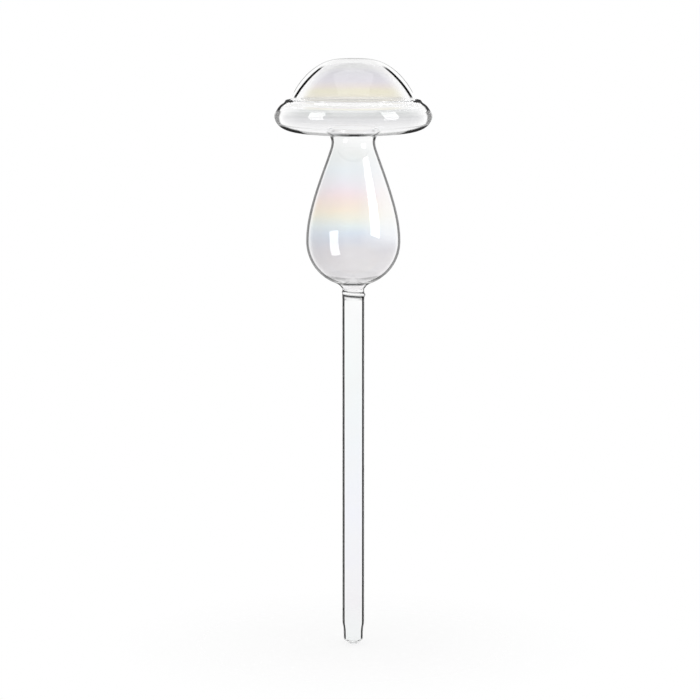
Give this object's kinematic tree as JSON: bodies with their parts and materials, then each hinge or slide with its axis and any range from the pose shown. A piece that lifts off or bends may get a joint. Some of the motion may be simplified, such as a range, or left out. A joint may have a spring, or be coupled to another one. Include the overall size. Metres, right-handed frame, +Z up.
{
  "type": "watering globe",
  "caption": "Mushroom-shaped hollow glass watering globe with a pear reservoir and a long hollow spike that drips water into plant soil.",
  "frame": {"origin": "on the glass axis, at the mouth of the drip orifice, the lowest point of the tip", "axes": "+Z up along the glass axis, from the tip to the top of the cap; +X to the right seen from the front, +Y away from the viewer"},
  "size_m": [0.0716, 0.0716, 0.2699],
  "materials": {
    "lustre_glass": "clear with a pale iridescent lustre, glossy",
    "clear_glass": "water clear, glossy"
  },
  "bodies": {
    "root": {"cap_dome": "lustre_glass", "cap_brim": "lustre_glass", "bulb": "lustre_glass", "seal_bead": "clear_glass", "spike_tube": "clear_glass", "drip_tip": "clear_glass"}
  },
  "joints": []
}
